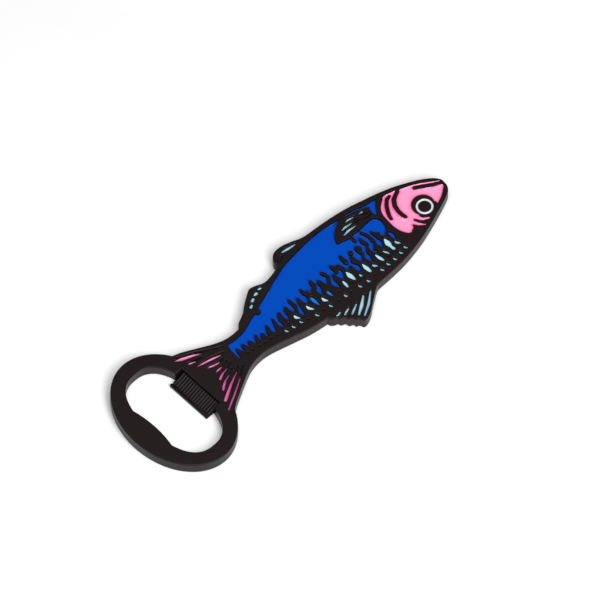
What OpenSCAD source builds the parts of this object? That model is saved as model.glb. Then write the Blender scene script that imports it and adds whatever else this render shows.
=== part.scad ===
// Fish-shaped bottle opener: one flat casting with coloured enamel in its recesses.
// +X runs from the opener ring to the snout, +Y towards the fish's back and +Z out
// of the decorated face. The plain back lies on z = 0, and the origin is the centre
// of the back's bounding rectangle. All sizes are millimetres.

/* [Fish] */
// Length of the fish, from the root of the tail to the snout
fish_l = 107; // [85:0.5:130]
// Height of the fish's body, from belly to back, without its fins
fish_h = 26.5; // [22:0.5:32]
// Thickness of the casting
plate_t = 4.4; // [3.6:0.1:5.4]

/* [Ring] */
// Length of the ring, along the fish
ring_l = 33.6; // [32:0.2:42]
// Width of the ring, across the fish
ring_w = 45.5; // [43:0.5:56]
// Length of the cap opening, along the fish
opening_l = 20.2; // [18:0.2:22]
// Width of the cap opening, which a 32 mm crown cap passes
opening_w = 35.3; // [33:0.1:38]
// How squarely the opening fills its corners: 2 is an ellipse
opening_n = 2.45; // [2:0.05:4]
// Height of the shallow bulge that presses on the top of the cap
fulcrum_h = 1.7; // [0.9:0.1:2.4]
// Width of that bulge
fulcrum_w = 22.8; // [18:0.2:27]

/* [Tongue] */
// Width of the tongue that hooks under the cap
tongue_w = 16.4; // [12:0.1:17]
// Offset of the tongue from the ring's centre line, towards the back
tongue_y = 0.3; // [0:0.1:0.6]
// Reach of the tongue's lip into the opening, from its tail end
tongue_reach = 3.7; // [3:0.1:6]
// Length of the tongue's recess in the tail, behind the opening
tongue_root = 1.9; // [1.2:0.1:3]
// Drop from the top face to the ramp's upper end
step_h = 1.2; // [0.8:0.1:1.6]
// Height of the lip above the back
lip_h = 1.5; // [1:0.1:2]
// Width of the lip's flat bar
lip_w = 0.8; // [0.6:0.1:1.4]
// Width of the groove between the lip and the ramp
lip_groove_w = 0.5; // [0.3:0.1:0.8]
// Number of grip ribs on the ramp
rib_count = 16; // [8:1:20]
// Height of the grip ribs above the ramp
rib_h = 0.4; // [0.2:0.05:0.6]
// Part of each rib's pitch that is rib; the rest is groove
rib_share = 0.55; // [0.4:0.05:0.7]
// Width of the relief slot at each end of the tongue
end_slot_w = 0.3; // [0.2:0.1:0.6]

/* [Enamel] */
// Depth of the enamel recesses below the raised lines
recess_d = 1.6; // [1.4:0.05:2]
// How far the enamel stays below the raised lines
enamel_drop = 1; // [0.6:0.05:1.2]
// How far the fuller enamel of the head and the eye stays below them
head_drop = 0.4; // [0.2:0.05:0.6]
// Depth of the fine lines and pits that hold no enamel
groove_d = 0.8; // [0.4:0.05:1]

/* [Eye] */
// Diameter of the raised black disc round the eye
socket_d = 7.6; // [6.8:0.1:8.4]
// Outer diameter of the white ring
iris_d = 5.6; // [4.8:0.1:6.2]
// Diameter of the raised pupil
pupil_d = 4.2; // [3:0.1:4.6]

/* [Hidden] */
// The artwork below is drawn on a fish of this length and height, whose tail root
// is at art_x, then stretched to fish_l and fish_h.
art_x = 11.6;
art_l = 107;
art_h = 26.5;
ring_x = 0.6;
art_y = -0.8;
cut = 1;
arc_steps = 4;
fine_steps = 2;
// How much the ridges in the flank stand out past their drawn edges
ridge_grow = 0.1;
disc_steps = 40;
pupil_steps = 32;
oval_steps = 96;
fulcrum_steps = 256;
// How far the fish's tail runs into the ring
tail_overlap = 5.8;

left_x = ring_x - ring_l / 2;
tail_x = ring_x + ring_l / 2 - tail_overlap;
snout_x = tail_x + fish_l;
centre_x = (left_x + snout_x) / 2;

opening_end_x = ring_x + opening_l / 2;
lip_x = opening_end_x - tongue_reach;
step_x = opening_end_x + tongue_root;
ramp_x = lip_x + lip_w + lip_groove_w;
ramp_low_z = lip_h - rib_h;
ramp_high_z = plate_t - step_h - rib_h;
rib_pitch = tongue_w / (rib_count + 0.5);

// Outline of the back, tail root to snout. A point given twice is a corner.
back_edge = [
    [11.6, 16], [11.6, 16], [13.7, 15], [13.7, 15], [16.3, 14.1], [20, 12.2], [23.5, 10.3], [27, 8.6],
    [29.4, 7.8], [31.8, 7.4], [35.2, 7.4], [35.2, 7.4], [36.6, 8.9], [40, 10.5], [42.2, 12.2], [45, 14],
    [47, 15.2], [48.2, 15.4], [50, 14.9], [52, 14], [54, 13.8], [57, 14.3], [60.4, 15.2], [60.4, 15.2],
    [59.9, 16.3], [60.3, 17.6], [61.6, 19], [63.5, 19.6], [66, 19.4], [69, 18.5], [72, 17.3], [75, 16.8],
    [80, 16.4], [85, 15.8], [90, 14.9], [95, 13.6], [100, 12.2], [105, 10.5], [110, 8.2], [114, 6],
    [117, 3.7], [118.4, 1.8]
];
// Outline of the belly, snout to tail root
belly_edge = [
    [118.5, 0.4], [118.2, -1.4], [117, -2.9], [115, -4], [110, -5.9], [105, -7.6], [100, -9.1],
    [95, -10.2], [90, -11], [84, -11.4], [78.5, -11.5], [76.7, -12], [73.6, -14], [71.1, -15.7],
    [68.9, -17.2], [66.6, -18.1], [65.2, -17.9], [64.9, -17], [64.4, -16.4], [63.6, -16.1], [63.5, -15.1],
    [62.7, -14.7], [62.1, -14.2], [62, -13.2], [61.2, -12.8], [60.4, -12.3], [60.3, -11.5], [59.2, -11.1],
    [58.2, -10.3], [57.8, -9.2], [57.8, -9.2], [54.5, -8.8], [50, -7.9], [45, -6.5], [40, -5.1],
    [37, -4.4], [34, -4.1], [30, -4.5], [26.5, -5.7], [22.3, -7.8], [18, -10], [15.1, -11.7],
    [13.7, -12.9], [13.7, -12.9], [11.6, -14], [11.6, -14]
];

// The blue field of the flank. Its lower edge runs from the tail end to the head, down
// into each drop and up round each scale ridge, then back along the fish's back.
flank_field = [
    [28, 1.5], [27.9, 0], [28.2, -0.8], [28.7, -0.7], [28.9, 0.5], [29.2, 1.5], [29.3, 2.3],
    [29.7, 2.8], [30.1, 2.4], [30.3, 1.8], [30.6, 0.5], [31.3, 0.7], [31.5, 1.6], [31.7, 2.3],
    [32.1, 2.8], [32.5, 2.3], [32.7, 1.6], [33.1, 0.6], [33.6, 0.5], [33.9, 1.4], [34, 1.9],
    [34.3, 2.3], [34.8, 2], [35, 1.4], [35.1, 0.9], [35.5, -0.5], [36, 0], [36.3, 0.9], [36.7, 1.6],
    [37.1, 2.1], [37.4, 2.3], [37.7, 2], [37.6, 1.3], [37.3, 0.6], [37.5, -0.6], [38.1, -0.1],
    [38.4, 0.6], [38.8, 1.2], [39.1, 1.4], [39.6, 1], [39.7, 0.4], [39.6, -0.3], [40.1, -1.3],
    [40.6, -0.6], [40.7, 0.3], [41.2, 1.1], [41.7, 1.8], [42.1, 2.4], [42.5, 2], [42.4, 1.2],
    [42.2, 0.3], [42, -0.4], [42.3, -1.3], [43.2, -1.5], [43.6, -0.9], [44, 0.3], [44.4, 1.1],
    [44.8, 1.9], [45.1, 2.7], [45.5, 2.2], [45.3, 1.3], [45.2, 0.4], [45.1, -0.6], [45.7, -2],
    [46.4, -1.6], [46.6, -0.6], [46.5, 0.6], [46.6, 1.2], [46.9, 1.3], [47.2, 1.8], [47.5, 2.5],
    [48, 3], [48.6, 2.5], [48.4, 1.5], [48.3, 0.6], [48.3, -0.4], [48.8, -1.1], [49.3, -1],
    [49.6, -0.2], [49.9, 0.6], [49.8, 1.4], [50.1, 2.2], [50.5, 2.7], [51, 3], [51.4, 2.6],
    [51.4, 1.8], [51.4, 0.8], [51.5, 0.2], [51.9, -0.5], [52.5, -0.3], [53, 0.5], [53.2, 1.6],
    [53.2, 2.8], [53.3, 3.7], [53.6, 4.2], [54, 3.8], [54, 2.8], [54.1, 1.8], [54.3, 1.1], [53.9, 0.4],
    [53.4, -0.4], [52.9, -1.4], [52.8, -2.2], [53, -3], [53.5, -3.6], [54, -3.4], [54.2, -2.6],
    [54.6, -1.2], [54.9, 0], [55.1, 0.9], [55.4, 1.8], [55.9, 2.7], [56.4, 2.2], [56.4, 1.2],
    [56.4, 0.2], [56.9, -1], [57.6, -1], [58.1, -0.3], [58.6, 0.3], [58.7, 1.2], [58.4, 2.2],
    [58.4, 3.1], [58.6, 3.8], [58.9, 4.2], [59.3, 3.7], [59.3, 2.8], [59.5, 2.1], [59.9, 2.3],
    [60.2, 2.4], [60.5, 2], [60.2, 1.6], [60.1, 1.2], [60.2, 0.8], [60.7, 0.8], [61.1, 1.3],
    [61.8, 1.8], [62.4, 2.1], [62.6, 3.2], [62.8, 4], [63.3, 4.4], [63.7, 3.8], [63.6, 3], [63.8, 2.1],
    [63.5, 1.5], [63, 1], [62.5, 0.8], [62.2, 0.2], [62.2, -0.8], [62.3, -1.7], [62.6, -2.1],
    [63, -1.9], [63.4, -1.3], [64, -0.5], [64.4, 0.6], [64.4, 1.7], [65, 2.7], [65.5, 2.2],
    [65.7, 1.4], [65.8, 0.4], [65.9, -0.3], [66.2, -0.6], [66.5, -0.4], [67.2, 0.4], [67.9, 1.2],
    [68, 1.9], [67.7, 2.8], [67.5, 3.4], [67.7, 4.1], [68.4, 3.6], [68.7, 2.9], [68.7, 2], [68.9, 1.2],
    [68.6, 0.5], [68, -0.2], [67.5, -0.9], [67.3, -2], [67.6, -3.2], [68, -3.9], [68.4, -4.4],
    [68.8, -3.6], [69.1, -2.2], [69, -1.2], [69.3, -0.3], [69.7, 0.5], [70, 1], [70.4, 0.4],
    [70.5, -0.6], [70.7, -1.7], [71.2, -2.6], [71.9, -2.4], [72.5, -1.7], [73, -0.8], [73.2, 0.2],
    [73, 1], [72.5, 1], [72, 0.5], [71.5, 0.3], [71.1, 0.7], [71.2, 1.6], [71.2, 2.6], [71.3, 3.3],
    [71.6, 3.8], [72.1, 3.2], [72.4, 2.5], [72.9, 2.3], [73.2, 2.5], [73.7, 2], [74.1, 1.2],
    [74.3, 0.3], [74.3, -0.6], [74.5, -1.6], [74.9, -1.4], [75.4, -1], [76, -0.7], [76.4, -1],
    [76.4, -2], [76.4, -3], [76.9, -4.3], [77.2, -4.5], [77.8, -3.9], [78.3, -2.8], [78.2, -1.9],
    [77.7, -1], [77.4, -0.3], [77.8, 0.7], [78.3, 1.4], [78.7, 1.7], [78.9, 1.4], [79.1, 0.6],
    [79.1, -0.4], [79.3, -1.2], [79.8, -2.3], [80.4, -2.1], [80.9, -1.4], [81.3, -0.8], [81.6, -0.1],
    [81.3, 0.6], [81.4, 1.6], [81.4, 2.6], [81.9, 3.1], [82.4, 3], [82.9, 2.4], [83.2, 2], [83.2, 1.5],
    [82.9, 1.1], [82.4, 0.9], [82.4, 0.2], [82.5, -0.4], [82, -1], [81.6, -1.5], [81.4, -2.4],
    [81.7, -3.6], [82.1, -4.6], [82.6, -4.3], [82.9, -3.4], [83.3, -2.6], [83.2, -1.5], [83.6, -0.4],
    [84.1, 0.3], [84.6, 0.8], [84.9, 1.3], [84.6, 2.1], [84.4, 2.9], [84.7, 3.8], [85.1, 4.4],
    [85.5, 3.9], [85.4, 3], [85.6, 2.2], [85.9, 1.5], [85.7, 0.9], [85.2, 0.3], [84.8, -0.1],
    [84.6, -1], [84.7, -2], [85, -2.9], [85.5, -3.5], [86, -3.2], [85.9, -2], [85.6, -1.5],
    [86.2, -1.2], [86.7, -0.7], [87.2, 0], [87.4, 0.6], [87.2, 1], [87.3, 2.2], [87.2, 3.6],
    [86.9, 4.6], [86.7, 5.4], [87, 5.8], [87.5, 5], [88, 3.9], [88.1, 2.6], [88.1, 1.4], [88.2, 0.7],
    [87.8, -0.2], [87.4, -0.9], [87.7, -1.7], [87.9, -2.5], [88.1, -3.2], [88.5, -3.2], [89.1, -1.9],
    [89.6, -0.9], [89.3, 0.2], [89.2, 1.5], [89.1, 2.8], [89.3, 3.7], [89.8, 3.1], [90, 2.4],
    [90.5, 1.9], [91, 1.6], [90.9, 1], [90.6, 0.4], [90.9, -0.2], [91.3, -0.6], [91.7, -0.7],
    [92.2, -0.2], [92.8, 0.3], [93.4, 0.6], [93.9, 1.2], [94.3, 2.2], [94.6, 4.2], [94.2, 5.8],
    [93.8, 6.3], [93.8, 6.3], [90, 10], [86.2, 13.9], [86.2, 13.9], [82, 14.6], [78, 15], [74, 15.1],
    [70, 14.9], [66, 14.5], [63, 14.2], [60, 13.6], [57, 12.7], [54, 11.8], [51, 10.7], [48, 9.8],
    [45.2, 8.9], [43, 8], [41, 7.5], [39, 6.8], [37, 6.1], [35, 5.7], [33, 5.6], [31, 5.6],
    [29.4, 5.9], [28.9, 5.8], [28.1, 3.6]
];
// The blue sliver between the pectoral fin and the gill line
shoulder_field = [
    [87.2, 13.8], [87.2, 13.8], [91, 13.1], [95, 11.7], [98.9, 11.1], [98.9, 11.1], [96.6, 8.6],
    [95.1, 6.3], [95.1, 6.3], [94, 8], [92, 10], [88, 12.4]
];
// The pectoral fin, a raised leaf that lies in the blue
pectoral_fin = [
    [79, 7.8], [79, 7.8], [79.4, 9.2], [81, 11], [83.2, 12.5], [86.2, 14.1], [86.2, 14.1], [87.2, 13.2],
    [91, 12.3], [94, 11.1], [95.3, 10.1], [94.6, 9.5], [94.9, 8.8], [94.5, 8.2], [94.7, 7.5], [94.3, 6.8],
    [94.3, 6.8], [90, 6.8], [86, 6.6], [84.5, 6.8], [82.6, 6.8], [80.8, 7.3]
];
// Raised island in the blue, above a scale
flank_island = [
    [75.5, 1], [75.6, 2.4], [75.7, 3.4], [76.2, 4.2], [76.8, 3.7], [76.6, 2.9], [76.8, 2], [76.9, 1.2],
    [76.4, 0.3], [75.9, 0.7]
];
// Strokes here and below are chains of [x, y, width]. These are raised in the blue: a
// rivet-like knob at the back, a small knob, and a bar that hangs from the pectoral fin.
flank_knobs = [
    [[44, 7.8, 1.8]],
    [[79.5, 2.5, 1.4]],
    [[83.5, 4.7, 0.9], [83.5, 7, 0.9]]
];

// The pink field of the head, without the bars that cross it
head_field = [
    [98.4, -5.5], [97.5, -5.1], [96.7, -3.9], [96.1, -2.2], [95.8, 0], [96, 2.5], [96.3, 5],
    [97.2, 6.9], [98.6, 8.2], [99.9, 9], [100.5, 9.6], [101.3, 9.8], [102.6, 9.5], [105, 8.8],
    [105, 8.8], [105.7, 8.2], [107, 7.8], [109, 7], [112, 5.5], [114, 4.2], [116.5, 2.4], [117.7, 1.7],
    [117.7, 1.7], [117.3, -0.6], [117.3, -0.6], [114.5, -2.6], [111.6, -3.8], [111.6, -3.8],
    [111.2, -2.4], [108, -2.5], [104, -3], [102.3, -3], [100.3, -4], [100.3, -4], [99.8, -4.9], [99, -5.1]
];
// Pink streaks that run down from the cheek
cheek_streaks = [
    [[101.2, -3.6, 1.2], [102, -5, 1], [103.4, -6.5, 0.4]],
    [[103.1, -2.6, 1.3], [104.1, -4.6, 0.9], [105.9, -5.7, 0.5]]
];
// Raised bars of the gill cover, the cheek and the mouth
head_bars = [
    [[102.5, 8.6, 1.1], [101, 8.2, 1.4], [99.5, 6.8, 1.4], [98.2, 4.9, 1.4], [97.4, 3.4, 1.3],
     [97.1, 2.2, 1.1]],
    [[105.5, 8.1, 1.5], [104.2, 7.5, 1.4], [102.6, 6.7, 1.6], [101.3, 5, 1.6], [100.7, 3, 1.5],
     [100.6, 1, 1.5], [100.9, -0.4, 1.2]],
    [[102.2, -3.1, 0.8], [102.7, -4.6, 0.9], [103.5, -6.2, 0.6]],
    [[110.2, 5.2, 1.5], [112, 4.1, 1.5], [115, 2.1, 1.5], [118, 0.5, 1.4]]
];
socket_at = [107.8, -1.1];
iris_at = [107.8, -1.8];

// Pink rays of the tail, each with the plain groove that it thins into
tail_rays = [
    [[12.8, 13.3, 0.4], [15, 12.2, 1.3], [18, 10.9, 1.1], [21.2, 9.3, 0.4]],
    [[14.9, 9.6, 0.3], [16, 9.2, 0.9], [17.6, 8.6, 0.5]],
    [[16.9, 6.9, 0.5], [19, 6.4, 0.9], [22, 5.6, 1], [25, 4.7, 0.5]],
    [[18.5, 4.4, 0.4], [20, 3.8, 1], [21.5, 3.4, 0.8], [22.8, 3.2, 0.4]],
    [[19.6, 1.3, 0.5], [20.6, 1.5, 0.9], [22, 1.5, 0.5]],
    [[18.6, -1.4, 0.8], [19.6, -0.8, 0.9], [21, -0.3, 0.6], [22.8, -0.1, 0.4]],
    [[16.6, -4.8, 0.7], [18, -3.7, 0.9], [19.5, -2.8, 0.6], [21.6, -2.2, 0.4]],
    [[14.4, -8, 1.1], [16.5, -6.8, 1.1], [20, -4.9, 0.8], [24, -3.1, 0.4]],
    [[12.8, -11.1, 0.6], [15, -9.9, 0.7], [18, -8.4, 0.7], [23.4, -5.4, 0.4]]
];
tail_grooves = [
    [[14, 13.6, 0.4], [19, 11.2, 0.5], [24, 8.2, 0.4]],
    [[24.9, 7.6, 0.5], [27.1, 6.5, 0.5]],
    [[17.4, 8.6, 0.5], [19.8, 8.4, 0.4]],
    [[20.6, 6.6, 0.4], [25.9, 4.9, 0.4]],
    [[22.2, 3.2, 0.5], [24.3, 3.4, 0.4]],
    [[21.4, 1.4, 0.5], [24.6, 2, 0.4]],
    [[22.8, -0.1, 0.4], [24.9, 0.8, 0.4]],
    [[21.6, -2.3, 0.4], [23.8, -1.1, 0.4]],
    [[23.8, -3.3, 0.5], [25.8, -1.9, 0.4]],
    [[24, -4.9, 0.5], [27, -2.9, 0.5]]
];
pectoral_rays = [
    [[83.4, 10.3, 0.5], [85, 10.4, 0.9], [87.6, 10.1, 0.4]],
    [[82.7, 8.6, 0.6], [84.8, 8.8, 1], [87.8, 8.5, 0.4]],
    [[86.2, 11.6, 0.4], [87.4, 11.7, 0.8], [89.5, 11.2, 0.4]],
    [[91.2, 10.9, 0.4], [92.6, 10.7, 0.7]]
];
pelvic_rays = [
    [[60.6, -10.5, 0.6], [61.2, -10.7, 0.8], [62.3, -10.3, 0.5]],
    [[62.6, -12.1, 0.6], [63.8, -11.6, 0.8], [65.1, -11.2, 0.6]],
    [[64.4, -13.5, 0.6], [66.1, -12.7, 0.8], [68, -11.8, 0.5]],
    [[65.8, -15.1, 0.7], [68.7, -13.4, 1.2], [71.6, -11.2, 0.6]],
    [[66.9, -16.6, 0.6], [70.7, -14.5, 0.9], [74.5, -11.5, 0.5]]
];
back_fin_drops = [
    [[43.5, 10.4, 1], [44.3, 10.7, 0.8]],
    [[45.4, 11.7, 1], [46.2, 12, 1]],
    [[47.5, 12.7, 0.9], [48.3, 12.8, 1.2]],
    [[49.8, 13.4, 0.8], [50.5, 13.3, 0.9]]
];
dorsal_ray = [[64.5, 17.8, 0.7], [66.6, 17.4, 1], [69.4, 17, 0.5]];

// Pale scales of the upper row, head end first
large_scales = [
    [[90.7, -1.4, 0.7], [90.4, -3.1, 2.1], [90.3, -4.6, 1], [90.4, -5.7, 1.3]],
    [[84.7, -3.5, 0.7], [84.8, -5.1, 1.4], [85.1, -6.4, 1]],
    [[79.4, -3, 0.6], [79.3, -4.6, 1.6], [79.4, -6.3, 1.2]],
    [[73.8, -1.4, 0.5], [73.7, -3.1, 1.9], [73.9, -5, 1]],
    [[70.7, -3.1, 0.7], [70.6, -4.3, 1.2], [70.4, -5.5, 0.8]],
    [[61.8, -2.8, 0.7], [61.8, -3.8, 1.3], [62.4, -4.6, 0.8]],
    [[56.3, -1.5, 0.7], [56.3, -2.6, 1.3], [57.1, -3.7, 0.8]],
    [[51.2, -1.3, 0.7], [51.1, -2.1, 1.3], [51.8, -3, 0.7]]
];
middle_scales = [
    [[92.5, -4.2, 0.7], [92.6, -5, 1.2], [93.3, -5.8, 0.6]],
    [[87.4, -4.2, 0.7], [87.7, -5, 1], [88.2, -6, 0.6]],
    [[81.5, -5.4, 0.7], [81.7, -6, 1.2], [82.3, -6.6, 0.7]],
    [[76.2, -5, 0.7], [76.2, -5.6, 1]]
];
// Centres of the small pale scales along the belly, head end first
belly_scales = [
    [93.2, -8], [90.8, -8.4], [87.9, -8.7], [85.1, -8.6], [82.3, -8.7], [76.4, -8.6], [73.2, -8.1],
    [67.6, -7.4], [61.7, -6.7], [56.3, -6.1], [51, -4.4], [48.1, -4], [45.5, -3.5]
];
belly_scale = [[0, 0.6, 0.5], [0, 0, 0.9], [0.4, -0.4, 0.7]];
// Pits with no enamel, where the scale rows fade out
pits = [
    [79.3, -8.5], [69.8, -7.6], [64.7, -7.2], [59, -6.3], [53.2, -5.3], [42.5, -2.9], [40.2, -2.1],
    [37.8, -1.9], [35.6, -1.5], [33.2, -1], [31.2, -0.7], [86.1, -4.4], [72.3, -5.3], [67.1, -5],
    [47.9, -2.1], [87.1, -6.6]
];
pit_d = 0.6;
blue_pockets = [
    [[93.3, -0.8, 1.1], [93.4, -2, 1.4], [93.2, -3.1, 0.9]],
    [[64.7, -2.3, 0.9], [64.6, -3, 1.2], [64.8, -4.2, 0.9]],
    [[59.4, -0.5, 1.2], [59.4, -1.9, 1.4], [59.5, -3.6, 0.8]]
];
// The fold under the dorsal fin's hook, and fine lines in the pectoral fin
fin_folds = [
    [[61.3, 16.2, 1.2], [62.9, 16.8, 1]],
    [[92, 9.6, 0.3], [94.2, 9.3, 0.3]],
    [[91, 8.3, 0.3], [94, 8.1, 0.4]],
    [[88.2, 9.3, 0.3], [90.6, 9.2, 0.3]],
    [[88.6, 10.2, 0.3], [90.2, 10.1, 0.3]]
];

// Every recess that is a single stroke
stroke_pools = concat(
    blue_pockets, tail_rays, pectoral_rays, pelvic_rays, back_fin_drops, large_scales, middle_scales
);

metal_c = "#292527";
blue_c = "#0a4cc0";
azure_c = "#1286dc";
aqua_c = "#a4dbe2";
pink_c = "#f58cc0";
rose_c = "#e06fae";
white_c = "#eef0f2";

// A closed curve through the points, straight into any point given twice
function curve(a, b, c, d, t) =
    0.5 * (2 * b + (c - a) * t + (2 * a - 5 * b + 4 * c - d) * t * t
    + (3 * b - a - 3 * c + d) * t * t * t);
function smooth(p, steps = 3) = [
    for (i = [0:len(p) - 1])
        let (n = len(p), a = p[(i + n - 1) % n], b = p[i], c = p[(i + 1) % n], d = p[(i + 2) % n])
        if (norm(c - b) > 0)
            for (k = [0:steps - 1]) curve(a, b, c, d, k / steps)
];

// An arc of points round a centre, and the outline of two discs and their tangents
function arc(at, r, from, to) = [
    for (k = [0:arc_steps]) let (u = from + (to - from) * k / arc_steps) at + r * [cos(u), sin(u)]
];
function capsule(a, b) =
    let (
        p = [a[0], a[1]],
        q = [b[0], b[1]],
        along = atan2(q[1] - p[1], q[0] - p[0]),
        half = acos((a[2] - b[2]) / 2 / norm(q - p))
    )
    concat(
        arc(p, a[2] / 2, along + half, along + 360 - half),
        arc(q, b[2] / 2, along - half, along + half)
    );
function oval(size, n = 2) = [
    for (k = [0:oval_steps - 1])
        let (c = cos(360 * k / oval_steps), s = sin(360 * k / oval_steps))
        [sign(c) * size[0] / 2 * pow(abs(c), 2 / n), sign(s) * size[1] / 2 * pow(abs(s), 2 / n)]
];

module stroke(chain) {
    if (len(chain) == 1)
        translate([chain[0][0], chain[0][1]]) circle(d = chain[0][2], $fn = 2 * arc_steps);
    else
        for (i = [0:len(chain) - 2]) polygon(capsule(chain[i], chain[i + 1]));
}

module strokes(chains) {
    for (chain = chains) stroke(chain);
}

// Stretches the artwork's drawing to the fish's own length and height
module on_fish() {
    translate([tail_x, 0])
        scale([fish_l / art_l, fish_h / art_h])
            translate([-art_x, art_y])
                children();
}

// Joins the strokes of one recess into a single outline on the fish
module outlined() {
    offset(delta = 0) on_fish() children();
}

module flank_shape() {
    offset(delta = -ridge_grow) outlined() difference() {
        polygon(smooth(flank_field, fine_steps));
        polygon(smooth(pectoral_fin));
        polygon(smooth(flank_island, fine_steps));
        strokes(flank_knobs);
    }
}

module shoulder_shape() {
    outlined() difference() {
        polygon(smooth(shoulder_field));
        polygon(smooth(pectoral_fin));
    }
}

module head_shape() {
    outlined() difference() {
        union() {
            polygon(smooth(head_field));
            strokes(cheek_streaks);
        }
        strokes(head_bars);
        translate(socket_at) circle(d = socket_d, $fn = disc_steps);
    }
}

module eye_shape() {
    outlined() translate(iris_at) difference() {
        circle(d = iris_d, $fn = disc_steps);
        circle(d = pupil_d, $fn = pupil_steps);
    }
}

module stroke_shape(chain) {
    outlined() stroke(chain);
}

module belly_scale_shape(at) {
    outlined() translate(at) stroke(belly_scale);
}

module enamel(colour, drop = enamel_drop) {
    color(colour)
        translate([-centre_x, 0, plate_t - recess_d])
            linear_extrude(recess_d - drop)
                children();
}

module recess(depth) {
    translate([0, 0, plate_t - depth]) linear_extrude(depth + cut) children();
}

module recesses() {
    recess(recess_d) flank_shape();
    recess(recess_d) shoulder_shape();
    recess(recess_d) head_shape();
    recess(recess_d) eye_shape();
    recess(recess_d) stroke_shape(dorsal_ray);
    for (chain = stroke_pools)
        recess(recess_d) stroke_shape(chain);
    for (at = belly_scales)
        recess(recess_d) belly_scale_shape(at);
}

module fine_lines() {
    for (chain = concat(tail_grooves, fin_folds)) recess(groove_d) stroke_shape(chain);
    for (at = pits) recess(groove_d) stroke_shape([[at[0], at[1], pit_d]]);
}

module plate() {
    linear_extrude(plate_t) {
        offset(delta = 0) on_fish() polygon(smooth(concat(back_edge, belly_edge)));
        translate([ring_x, 0]) polygon(oval([ring_l, ring_w]));
    }
}

module opening() {
    translate([ring_x, 0, -cut]) linear_extrude(plate_t + 2 * cut)
        difference() {
            polygon(oval([opening_l, opening_w], opening_n));
            fulcrum();
        }
}

// The bulge is the cap of a large circle that rises fulcrum_h over fulcrum_w.
module fulcrum() {
    r = (pow(fulcrum_w / 2, 2) + pow(fulcrum_h, 2)) / (2 * fulcrum_h);
    translate([-opening_l / 2 + fulcrum_h - r, 0]) circle(r = r, $fn = fulcrum_steps);
}

// Side view of the tongue: lip bar, groove, then the ramp up to the step
module tongue_body() {
    profile = [
        [lip_x, 0], [lip_x, lip_h], [lip_x + lip_w, lip_h], [lip_x + lip_w, ramp_low_z - rib_h],
        [ramp_x, ramp_low_z - rib_h], [ramp_x, ramp_low_z], [step_x, ramp_high_z], [step_x, 0]
    ];
    translate([0, tongue_y + tongue_w / 2, 0])
        rotate([90, 0, 0])
            linear_extrude(tongue_w)
                polygon(profile);
}

module tongue_ribs() {
    profile = [
        [ramp_x, ramp_low_z - cut / 4], [ramp_x, ramp_low_z + rib_h],
        [step_x, ramp_high_z + rib_h], [step_x, ramp_high_z - cut / 4]
    ];
    for (i = [0:rib_count - 1])
        translate([0, tongue_y + (i - (rib_count - 1) / 2 + rib_share / 2) * rib_pitch, 0])
            rotate([90, 0, 0])
                linear_extrude(rib_pitch * rib_share)
                    polygon(profile);
}

// The pocket that the tongue lies in, open to the cap opening
module tongue_pocket() {
    slot_w = tongue_w + 2 * end_slot_w;
    translate([lip_x, tongue_y - slot_w / 2, lip_h - 2 * rib_h])
        cube([step_x - lip_x, slot_w, plate_t]);
}

module casting() {
    color(metal_c) translate([-centre_x, 0, 0]) {
        difference() {
            plate();
            opening();
            tongue_pocket();
            recesses();
            fine_lines();
        }
        tongue_body();
        tongue_ribs();
    }
}

module flank_enamel() enamel(blue_c) flank_shape();
module shoulder_enamel() enamel(blue_c) shoulder_shape();
module head_enamel() enamel(pink_c, head_drop) head_shape();
module eye_enamel() enamel(white_c, head_drop) eye_shape();
module dorsal_fin_enamel() enamel(aqua_c) stroke_shape(dorsal_ray);
module blue_pocket(i) enamel(i == 0 ? blue_c : azure_c) stroke_shape(blue_pockets[i]);
module tail_ray(i) enamel(rose_c) stroke_shape(tail_rays[i]);
module pectoral_ray(i) enamel(aqua_c) stroke_shape(pectoral_rays[i]);
module pelvic_ray(i) enamel(aqua_c) stroke_shape(pelvic_rays[i]);
module back_fin_drop(i) enamel(aqua_c) stroke_shape(back_fin_drops[i]);
module large_scale(i) enamel(aqua_c) stroke_shape(large_scales[i]);
module middle_scale(i) enamel(aqua_c) stroke_shape(middle_scales[i]);
module belly_scale(i) enamel(aqua_c) belly_scale_shape(belly_scales[i]);

casting();
flank_enamel();
shoulder_enamel();
head_enamel();
eye_enamel();
dorsal_fin_enamel();
for (i = [0:len(blue_pockets) - 1])
    blue_pocket(i);
for (i = [0:len(tail_rays) - 1])
    tail_ray(i);
for (i = [0:len(pectoral_rays) - 1])
    pectoral_ray(i);
for (i = [0:len(pelvic_rays) - 1])
    pelvic_ray(i);
for (i = [0:len(back_fin_drops) - 1])
    back_fin_drop(i);
for (i = [0:len(large_scales) - 1])
    large_scale(i);
for (i = [0:len(middle_scales) - 1])
    middle_scale(i);
for (i = [0:len(belly_scales) - 1])
    belly_scale(i);
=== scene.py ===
import math

import bmesh
import bpy
import numpy as np
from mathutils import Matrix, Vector
from mathutils.geometry import delaunay_2d_cdt


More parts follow.
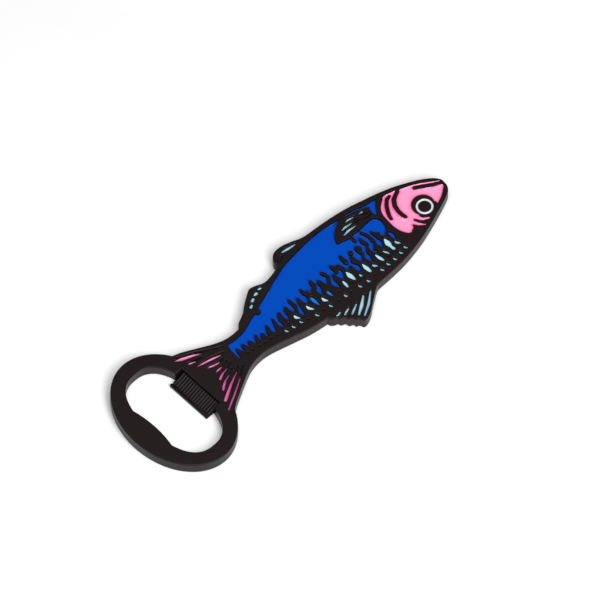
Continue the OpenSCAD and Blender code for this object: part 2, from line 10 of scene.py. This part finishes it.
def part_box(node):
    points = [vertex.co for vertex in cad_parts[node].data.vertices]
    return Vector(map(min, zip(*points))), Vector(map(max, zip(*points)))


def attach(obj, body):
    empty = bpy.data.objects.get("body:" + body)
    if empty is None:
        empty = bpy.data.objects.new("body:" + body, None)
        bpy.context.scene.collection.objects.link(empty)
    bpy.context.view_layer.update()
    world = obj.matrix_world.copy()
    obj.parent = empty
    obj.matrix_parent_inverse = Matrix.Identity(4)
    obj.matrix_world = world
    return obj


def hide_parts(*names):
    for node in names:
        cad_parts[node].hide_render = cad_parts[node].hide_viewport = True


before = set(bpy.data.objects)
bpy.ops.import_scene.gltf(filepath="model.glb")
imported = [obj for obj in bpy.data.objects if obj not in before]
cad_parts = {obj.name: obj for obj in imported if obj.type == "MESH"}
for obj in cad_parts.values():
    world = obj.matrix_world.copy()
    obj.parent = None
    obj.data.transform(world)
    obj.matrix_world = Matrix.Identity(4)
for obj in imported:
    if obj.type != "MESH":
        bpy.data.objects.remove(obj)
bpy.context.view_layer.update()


# ---------------------------------------------------------------- the view
# The opener is seen from above its belly side, through a very long lens, so that
# parallel edges stay parallel.
MM = 0.001
VIEW_TURN = math.radians(-44.5)
VIEW_RISE = math.radians(60)
VIEW_DISTANCE = 8.0
FRAME_WIDTH = 187.5 * MM
SENSOR_WIDTH = 36.0

low_corner, high_corner = (Vector(corner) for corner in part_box("casting"))
aim = Vector((5.0 * MM, 0.6 * MM, high_corner.z))
towards_camera = Vector((
    math.sin(VIEW_TURN) * math.cos(VIEW_RISE),
    -math.cos(VIEW_TURN) * math.cos(VIEW_RISE),
    math.sin(VIEW_RISE),
))
camera = bpy.data.objects.new("camera", bpy.data.cameras.new("camera"))
camera.data.sensor_width = SENSOR_WIDTH
camera.data.lens = SENSOR_WIDTH * VIEW_DISTANCE / FRAME_WIDTH
camera.location = aim + towards_camera * VIEW_DISTANCE
camera.rotation_euler = (-towards_camera).to_track_quat("-Z", "Y").to_euler()
bpy.context.scene.collection.objects.link(camera)
bpy.context.scene.camera = camera
bpy.context.scene.view_settings.view_transform = "Standard"


# ---------------------------------------------------------------- the light
# One soft box stands on the belly side and throws the short, soft shadow behind the
# fish's back. A wider one hangs almost overhead, on the camera's side.
def soft_box(name, turn, rise, distance, size, watts):
    """A square lamp that faces the opener from a direction given in degrees."""
    a, e = math.radians(turn), math.radians(rise)
    away = Vector((math.cos(a) * math.cos(e), math.sin(a) * math.cos(e), math.sin(e)))
    lamp = bpy.data.objects.new(name, bpy.data.lights.new(name, "AREA"))
    lamp.data.shape = "SQUARE"
    lamp.data.size = size
    lamp.data.energy = watts
    lamp.location = away * distance
    lamp.rotation_euler = (-away).to_track_quat("-Z", "Y").to_euler()
    bpy.context.scene.collection.objects.link(lamp)


soft_box("key_box", turn=-99, rise=46, distance=1.0, size=0.5, watts=7.5)
soft_box("wide_box", turn=-134, rise=80, distance=1.3, size=1.1, watts=14.0)

world = bpy.data.worlds.new("studio")
world.use_nodes = True
world.node_tree.nodes["Background"].inputs["Color"].default_value = (0.93, 0.96, 1.0, 1)
world.node_tree.nodes["Background"].inputs["Strength"].default_value = 0.12
bpy.context.scene.world = world


# ---------------------------------------------------------------- the table
# A smooth white board that the opener lies on. It isn't part of the object.
class Wire:
    """A socket of a material's nodes. Arithmetic on it adds Math nodes."""

    def __init__(self, socket):
        self.socket = socket

    def _math(self, operation, a, b):
        node = self.socket.node.id_data.nodes.new("ShaderNodeMath")
        node.operation = operation
        for value, slot in zip((a, b), node.inputs):
            connect(value, slot)
        return Wire(node.outputs[0])

    def __add__(self, other):
        return self._math("ADD", self, other)

    def __mul__(self, other):
        return self._math("MULTIPLY", self, other)

    __radd__ = __add__
    __rmul__ = __mul__


def connect(value, socket):
    """Links a Wire to a socket, or sets a plain value on it."""
    if isinstance(value, Wire):
        socket.node.id_data.links.new(value.socket, socket)
    else:
        socket.default_value = value


COLOUR_RESULT = 2  # the Mix node's third output


class Finish:
    """A material with one Principled shader, built up node by node."""

    def __init__(self, name, **uniform):
        self.material = bpy.data.materials.new(name)
        self.material.use_nodes = True
        self.shader = self.material.node_tree.nodes["Principled BSDF"]
        self.place = self.node("ShaderNodeTexCoord", out="Object")
        self.feed(**uniform)

    def node(self, kind, settings=None, out=0, **inputs):
        """Adds a node with its settings, then the values or links of its sockets."""
        node = self.material.node_tree.nodes.new(kind)
        for key, value in (settings or {}).items():
            setattr(node, key, value)
        for key, value in inputs.items():
            found = [s for s in node.inputs if key in (s.identifier, s.name.replace(" ", "_"))]
            connect(value, found[0])
        return Wire(node.outputs[out])

    def noise(self, grain, detail=2.0):
        """Noise whose features are about grain metres across."""
        return self.node("ShaderNodeTexNoise", Vector=self.place, Scale=1 / grain, Detail=detail)

    def step(self, value, low, high):
        """0 below low, 1 above high, and smooth between them."""
        settings = {"interpolation_type": "SMOOTHSTEP"}
        return self.node("ShaderNodeMapRange", settings, Value=value, From_Min=low, From_Max=high)

    def blend(self, share, first, second):
        """The first colour where share is 0 and the second where it is 1."""
        settings = {"data_type": "RGBA"}
        return self.node("ShaderNodeMix", settings, COLOUR_RESULT,
                         Factor_Float=share, A_Color=first, B_Color=second)

    def bump(self, height, depth):
        """A normal from height, where 1 stands depth metres proud."""
        return self.node("ShaderNodeBump", Height=height * depth, Distance=1.0, Strength=1.0)

    def feed(self, **inputs):
        for key, value in inputs.items():
            connect(value, self.shader.inputs[key.replace("_", " ")])


def add_piece(name, bm, finish):
    """Turns a bmesh into an object in the scene, with one material."""
    mesh = bpy.data.meshes.new(name)
    bm.to_mesh(mesh)
    bm.free()
    mesh.materials.append(finish.material)
    piece = bpy.data.objects.new(name, mesh)
    bpy.context.scene.collection.objects.link(piece)
    return piece


TABLE_SIZE = 3.0
board = Finish("white_board", Roughness=0.6)
board_mottle = board.noise(40 * MM)
board.feed(Base_Color=board.blend(board_mottle, (0.86, 0.85, 0.85, 1), (0.9, 0.9, 0.9, 1)))
board.feed(Normal=board.bump(board.noise(0.8 * MM), 0.01 * MM))
bm = bmesh.new()
bmesh.ops.create_grid(bm, x_segments=12, y_segments=12, size=TABLE_SIZE / 2)
add_piece("table", bm, board)


# ---------------------------------------------------------------- the casting
# One zinc die casting: fish, ring, fulcrum and tongue. It is tumbled, which rounds
# its edges, and then coated satin black.
WELD = 0.002 * MM
EDGE_ROUND = 0.3 * MM
LINE_ROUND = 0.18 * MM
POOL_ROUND = 0.28 * MM
ROUND_STEPS = 4
SHARP = math.radians(42)
SHARPEST_STRETCH = 0.5
CDT_FILLED_LOOPS, CDT_TOLERANCE = 1, 1e-5


def merged(node):
    """A copy of a CAD node's mesh with its loose triangles joined."""
    bm = bmesh.new()
    bm.from_mesh(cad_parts[node].data)
    bmesh.ops.remove_doubles(bm, verts=bm.verts, dist=WELD)
    return bm


def flat_faces(bm, z):
    return [f for f in bm.faces if all(abs(v.co.z - z) < WELD for v in f.verts)]


def outlines(faces):
    """The closed loops of vertices round a set of faces, each in its faces' own direction."""
    inside = set(faces)
    following = {}
    for face in faces:
        for corner in face.loops:
            if corner.link_loop_radial_next.face not in inside:
                following.setdefault(corner.vert, []).append(corner.link_loop_next.vert)
    found = []
    while following:
        start = vert = next(iter(following))
        loop = []
        while vert in following:
            ahead = following[vert].pop()
            if not following[vert]:
                del following[vert]
            loop.append(vert)
            vert = ahead
        found.append(loop)
    return found


def inward(loop, turn):
    """For each point of a loop, the plan direction off it, stretched to keep both sides' distance."""
    points = [Vector(p).to_2d() for p in loop]
    count = len(points)
    found = []
    for i, point in enumerate(points):
        before = (point - points[i - 1]).normalized()
        after = (points[(i + 1) % count] - point).normalized()
        side = turn * (Vector((-before.y, before.x)) + Vector((-after.y, after.x)))
        found.append(side / max(1 + before.dot(after), SHARPEST_STRETCH))
    return found


def edge_pairs(loops):
    """The plan ends of every edge of the loops, in mm."""
    return np.array([
        [loop[i][:2], loop[(i + 1) % len(loop)][:2]] for loop in loops for i in range(len(loop))
    ]) / MM


def is_inside(points, segments):
    """Whether each point lies inside the loops, counting an island in a hole as inside."""
    p = points[:, None, :]
    a, b = segments[None, :, 0], segments[None, :, 1]
    crosses = (a[..., 1] > p[..., 1]) != (b[..., 1] > p[..., 1])
    rise = np.where(b[..., 1] == a[..., 1], 1, b[..., 1] - a[..., 1])
    at = a[..., 0] + (p[..., 1] - a[..., 1]) / rise * (b[..., 0] - a[..., 0])
    return (crosses & (p[..., 0] < at)).sum(1) % 2 == 1


def distance_in(points, segments):
    """How far each point is inside the outline, in mm; negative outside it."""
    p = points[:, None, :]
    a, b = segments[None, :, 0], segments[None, :, 1]
    along = np.clip(((p - a) * (b - a)).sum(2) / ((b - a) ** 2).sum(2), 0, 1)
    gap = np.sqrt(((p - a - along[..., None] * (b - a)) ** 2).sum(2)).min(1)
    return np.where(is_inside(points, segments), gap, -gap)


def fill(bm, loops, turn, extra=()):
    """Fills the area between the loops with triangles, through the extra points inside it."""
    verts = [v for loop in loops for v in loop] + [bm.verts.new(p) for p in extra]
    edges, first = [], 0
    for loop in loops:
        edges += [(first + i, first + (i + 1) % len(loop)) for i in range(len(loop))]
        first += len(loop)
    flat = [v.co.to_2d() / MM for v in verts]
    points, _, faces, origins, _, _ = delaunay_2d_cdt(flat, edges, [], CDT_FILLED_LOOPS, CDT_TOLERANCE)
    z = verts[0].co.z
    made = [
        verts[origin[0]] if origin else bm.verts.new((*(point * MM), z))
        for point, origin in zip(points, origins)
    ]
    middles = np.array([sum((points[i] for i in face), Vector((0, 0))) / len(face) for face in faces])
    kept = is_inside(middles, edge_pairs([[v.co for v in loop] for loop in loops]))
    for face, keep in zip(faces, kept):
        if keep:
            corners = [made[i] for i in face]
            bm.faces.new(corners if turn > 0 else corners[::-1])


def round_rim(bm, z, radius_of):
    """Replaces the flat face at height z with one whose edges are quarter rounds."""
    faces = flat_faces(bm, z)
    turn = 1 if faces[0].normal.z > 0 else -1
    loops = outlines(faces)
    radii = [radius_of(loop, loops) for loop in loops]
    bmesh.ops.delete(bm, geom=faces, context="FACES")
    tops = []
    for loop, radius in zip(loops, radii):
        sides = inward([v.co for v in loop], turn)
        rings = [loop]
        for k in range(1, ROUND_STEPS + 1):
            angle = math.pi / 2 * k / ROUND_STEPS
            step_in, drop = radius * (1 - math.cos(angle)), radius * (1 - math.sin(angle))
            rings.append([
                bm.verts.new((v.co.x + side.x * step_in, v.co.y + side.y * step_in, z - turn * drop))
                for v, side in zip(loop, sides)
            ])
        for v in loop:
            v.co.z = z - turn * radius
        for lower, upper in zip(rings, rings[1:]):
            for i in range(len(loop)):
                j = (i + 1) % len(loop)
                bm.faces.new((lower[i], lower[j], upper[j], upper[i]))
        tops.append(rings[-1])
    fill(bm, tops, turn)


top_z, back_z = high_corner.z, low_corner.z
casting = merged("casting")

# The grip ribs are the highest faces that slope down to the lip. The cast ones are
# pressed half down here, and rounded bars take their place below.
RAMP_UPWARD, RAMP_LEAN = 0.8, -0.2
CREST_BAND = 0.1 * MM
slopes = [f for f in casting.faces if f.normal.z > RAMP_UPWARD and f.normal.x < RAMP_LEAN]
levels = [f.normal.dot(f.verts[0].co) for f in slopes]
rib_height = (max(levels) - min(levels)) / slopes[0].normal.z
crests = {v for f, level in zip(slopes, levels) if max(levels) - level < CREST_BAND for v in f.verts}
rib_foot = min(crests, key=lambda v: v.co.x).co.copy()
rib_head = max(crests, key=lambda v: v.co.x).co.copy()
rib_sides = sorted({round(v.co.y / MM, 3) * MM for v in crests})
for v in crests:
    v.co.z -= rib_height / 2


def rim_gap(loop, others):
    """The least distance from a loop to any other, in mm."""
    points = np.array([v.co[:2] for v in loop]) / MM
    segments = edge_pairs([[v.co for v in other] for other in others if other is not loop])
    return np.abs(distance_in(points, segments)).min()


BODY_WIDTH, LONG_RECESS = 30 * MM, 12 * MM
GAP_SHARE = 0.42


def rim_radius(loop, loops):
    """The outline and the opening are tumbled round; the raised lines stay crisper."""
    width = max(v.co.y for v in loop) - min(v.co.y for v in loop)
    length = max(v.co.x for v in loop) - min(v.co.x for v in loop)
    if width > BODY_WIDTH:
        return EDGE_ROUND
    wished = LINE_ROUND if length > LONG_RECESS else POOL_ROUND
    return min(wished, GAP_SHARE * rim_gap(loop, loops) * MM)


round_rim(casting, top_z, rim_radius)
round_rim(casting, back_z, lambda loop, loops: EDGE_ROUND)

black = Finish("black_coating", Specular_IOR_Level=0.16)
black_grain = black.noise(0.25 * MM, 3.0)
black_cloud = black.noise(9 * MM)
black.feed(Base_Color=black.blend(black_cloud, (0.0085, 0.0048, 0.0055, 1), (0.0108, 0.0064, 0.0072, 1)))
black.feed(Roughness=0.3 + 0.14 * black_grain)
black.feed(Normal=black.bump(black_grain, 0.012 * MM))

# The walls and floors of the deep recesses get a darker, duller material than the face. This is painted
# shade, which makes them look blacker than the face. The shallow grooves of the tail look like the rest
# of the face.
recess_painted_shade = Finish("recess_coating", Roughness=0.7, Specular_IOR_Level=0.03)
recess_shade_grain = recess_painted_shade.noise(0.3 * MM, 3.0)
# The painted shade's two near-black tones, mixed by grain noise.
recess_shade_dark, recess_shade_lighter = (0.001, 0.0008, 0.0008, 1), (0.003, 0.0024, 0.0025, 1)
recess_painted_shade.feed(Base_Color=recess_painted_shade.blend(recess_shade_grain, recess_shade_dark, recess_shade_lighter))
recess_painted_shade.feed(Normal=recess_painted_shade.bump(recess_shade_grain, 0.01 * MM))
RECESS_LOWEST, RECESS_HIGHEST = 2.7 * MM, 3.5 * MM

# Each face whose lowest corner lies in the recesses' height band takes the second material, the painted
# shade.
for face in casting.faces:
    face.smooth = True
    heights = [v.co.z for v in face.verts]
    face.material_index = int(RECESS_LOWEST < min(heights) < RECESS_HIGHEST)
body = add_piece("casting_body", casting, black)
body.data.materials.append(recess_painted_shade.material)
body.data.set_sharp_from_angle(angle=SHARP)
body.modifiers.new("even_shading", "WEIGHTED_NORMAL").keep_sharp = True
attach(body, "root")
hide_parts("casting")


# ---------------------------------------------------------------- the grip ribs
# Sixteen rounded bars cast along the tongue's ramp, so that a wet cap doesn't slip.
# A node tree sweeps one bar's section along the ramp and repeats it across.
RIB_SPREAD = 1.12


def rib_tree():
    tree = bpy.data.node_groups.new("grip_ribs", "GeometryNodeTree")
    sockets = tree.interface
    for name, kind in (("Count", "Int"), ("Pitch", "Float"), ("Width", "Float"), ("Height", "Float"),
                       ("Foot", "Vector"), ("Head", "Vector"), ("Finish", "Material")):
        sockets.new_socket(name, in_out="INPUT", socket_type=f"NodeSocket{kind}")
    sockets.new_socket("Geometry", in_out="OUTPUT", socket_type="NodeSocketGeometry")
    nodes, links = tree.nodes, tree.links
    given = nodes.new("NodeGroupInput").outputs

    def add(kind, **values):
        node = nodes.new(kind)
        for key, value in values.items():
            socket = next(s for s in node.inputs if s.name.replace(" ", "_") == key and s.enabled)
            if hasattr(value, "is_linked"):
                links.new(value, socket)
            else:
                socket.default_value = value
        return node

    path = add("GeometryNodeCurvePrimitiveLine", Start=given["Foot"], End=given["Head"])
    ring = add("GeometryNodeCurvePrimitiveCircle", Resolution=16, Radius=1.0)
    half = add("ShaderNodeMath", Value=given["Width"])
    half.operation = "MULTIPLY"
    half.inputs[1].default_value = 0.5
    # Known fault: the sweep lays the section's X across the tongue, so Height sets half of
    # a bar's breadth and Width its height. The bars come out broader than they should.
    section = add("ShaderNodeCombineXYZ", X=given["Height"], Y=half.outputs[0], Z=1.0)
    shaped = add("GeometryNodeTransform", Geometry=ring.outputs["Curve"], Scale=section.outputs[0])
    bar = add("GeometryNodeCurveToMesh", Curve=path.outputs["Curve"],
              Profile_Curve=shaped.outputs[0], Fill_Caps=True)
    step = add("ShaderNodeCombineXYZ", X=0.0, Y=given["Pitch"], Z=0.0)
    row = add("GeometryNodeMeshLine", Count=given["Count"], Offset=step.outputs[0])
    smooth = add("GeometryNodeSetShadeSmooth", Geometry=bar.outputs["Mesh"])
    each = add("GeometryNodeInstanceOnPoints", Points=row.outputs["Mesh"],
               Instance=smooth.outputs["Geometry"])
    real = add("GeometryNodeRealizeInstances", Geometry=each.outputs["Instances"])
    faced = add("GeometryNodeSetMaterial", Geometry=real.outputs["Geometry"], Material=given["Finish"])
    links.new(faced.outputs["Geometry"], nodes.new("NodeGroupOutput").inputs["Geometry"])
    return tree


rib_width, rib_pitch = rib_sides[1] - rib_sides[0], rib_sides[2] - rib_sides[0]
middle_y = (rib_sides[0] + rib_sides[1]) / 2
sunk = Vector((0, 0, rib_height))
ribs = bpy.data.objects.new("grip_ribs", bpy.data.meshes.new("seed"))
bpy.context.scene.collection.objects.link(ribs)
modifier = ribs.modifiers.new("ribs", "NODES")
modifier.node_group = rib_tree()
values = {
    "Count": len(rib_sides) // 2,
    "Pitch": rib_pitch,
    "Width": rib_width * RIB_SPREAD,
    "Height": rib_height,
    "Foot": Vector((rib_foot.x, middle_y, rib_foot.z)) - sunk,
    "Head": Vector((rib_head.x, middle_y, rib_head.z)) - sunk,
    "Finish": black.material,
}
for item in modifier.node_group.interface.items_tree:
    if item.in_out == "INPUT":
        modifier[item.identifier] = values[item.name]
bpy.context.view_layer.update()
made = bpy.data.meshes.new_from_object(ribs.evaluated_get(bpy.context.evaluated_depsgraph_get()))
ribs.modifiers.remove(modifier)
ribs.data = made
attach(ribs, "root")
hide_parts("casting")


# ---------------------------------------------------------------- the enamels
# Soft enamel: coloured resin poured into a recess and cured. It wets the walls, so
# its surface climbs them a little and lies level in the middle.
RINGS = (0.04, 0.09, 0.15, 0.23, 0.34, 0.5)
RING_CLEAR = 0.9
GRID = 0.9
GRID_CLEAR = 0.3 * GRID
ENAMEL_SHARP = math.radians(35)


def pool(node, climb, reach):
    """The enamel of one recess, whose surface climbs its walls and fades over reach."""
    cad = merged(node)
    low, high = (corner[2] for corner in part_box(node))
    loops = [[v.co.copy() for v in loop] for loop in outlines(flat_faces(cad, high))]
    cad.free()
    segments = edge_pairs(loops)
    inner = []
    for ring in RINGS:
        for loop in loops:
            at = np.array([p.to_2d() / MM + side * ring for p, side in zip(loop, inward(loop, 1))])
            inner += list(at[distance_in(at, segments) > RING_CLEAR * ring])
    corner = segments.min((0, 1))
    across, up = ((segments.max((0, 1)) - corner) / GRID).astype(int) + 2
    grid = np.array([
        corner + [(i + 0.5 * (j % 2)) * GRID, j * GRID] for j in range(up) for i in range(across)
    ])
    inner += list(grid[distance_in(grid, segments) > RINGS[-1] + GRID_CLEAR])
    bm = bmesh.new()
    near = bm.verts.layers.float.new("near_wall")
    extra = []
    if inner:
        depth = distance_in(np.array(inner), segments)
        lift = climb * np.exp(-depth / reach)
        extra = [(*(p * MM), high + rise * MM) for p, rise in zip(inner, lift)]
    bottom = [[bm.verts.new((p.x, p.y, low)) for p in loop] for loop in loops]
    top = [[bm.verts.new((p.x, p.y, high + climb * MM)) for p in loop] for loop in loops]
    for lower, upper in zip(bottom, top):
        for i in range(len(lower)):
            j = (i + 1) % len(lower)
            bm.faces.new((lower[i], lower[j], upper[j], upper[i]))
    fill(bm, bottom, -1)
    fill(bm, top, 1, extra)
    for v in bm.verts:
        v[near] = min(max((v.co.z - high) / (climb * MM), 0), 1)
    for face in bm.faces:
        face.smooth = True
    return bm


def enamel_finish(name, colour, edge_colour, gloss=0.5):
    finish = Finish(name, Specular_IOR_Level=gloss)
    near = finish.node("ShaderNodeAttribute", {"attribute_name": "near_wall"}, "Fac")
    cloud = finish.noise(3 * MM)
    share = finish.step(near + 0.12 * cloud, 0.02, 0.75)
    finish.feed(Base_Color=finish.blend(share, colour, edge_colour))
    finish.feed(Roughness=0.12 + 0.08 * cloud)
    finish.feed(Normal=finish.bump(finish.noise(0.7 * MM), 0.004 * MM))
    return finish


def pour(node, finish, climb, reach):
    piece = add_piece(f"{node}_fill", pool(node, climb, reach), finish)
    piece.data.set_sharp_from_angle(angle=ENAMEL_SHARP)
    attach(piece, "root")
    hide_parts(node)


blue = enamel_finish("blue_enamel", (0.0004, 0.056, 0.405, 1), (0.0004, 0.045, 0.34, 1), 0.15)
azure = enamel_finish("azure_enamel", (0.004, 0.17, 0.62, 1), (0.003, 0.11, 0.48, 1), 0.3)
aqua = enamel_finish("aqua_enamel", (0.40, 0.65, 0.74, 1), (0.25, 0.5, 0.6, 1))
dull_aqua = enamel_finish("dull_aqua_enamel", (0.25, 0.48, 0.57, 1), (0.15, 0.36, 0.45, 1))
pink = enamel_finish("pink_enamel", (0.93, 0.30, 0.50, 1), (0.86, 0.15, 0.36, 1))
rose = enamel_finish("rose_enamel", (0.72, 0.16, 0.38, 1), (0.6, 0.09, 0.28, 1))
white = enamel_finish("white_enamel", (0.72, 0.74, 0.78, 1), (0.5, 0.52, 0.56, 1))

pour("flank_enamel", blue, 0.04, 0.1)
pour("shoulder_enamel", blue, 0.04, 0.1)
pour("head_enamel", pink, 0.36, 0.34)
pour("eye_enamel", white, 0.3, 0.25)
for node in sorted(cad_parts):
    family = node.rsplit("_", 1)[0]
    if node == "blue_pocket_1":
        pour(node, blue, 0.04, 0.1)
    elif family == "blue_pocket":
        pour(node, azure, 0.04, 0.1)
    elif family == "tail_ray":
        pour(node, rose, 0.2, 0.16)
    elif family in ("pectoral_ray", "pelvic_ray", "back_fin_drop", "large_scale"):
        pour(node, aqua, 0.22, 0.18)
    elif family in ("middle_scale", "belly_scale"):
        pour(node, dull_aqua, 0.2, 0.16)
pour("dorsal_fin_enamel", aqua, 0.22, 0.18)
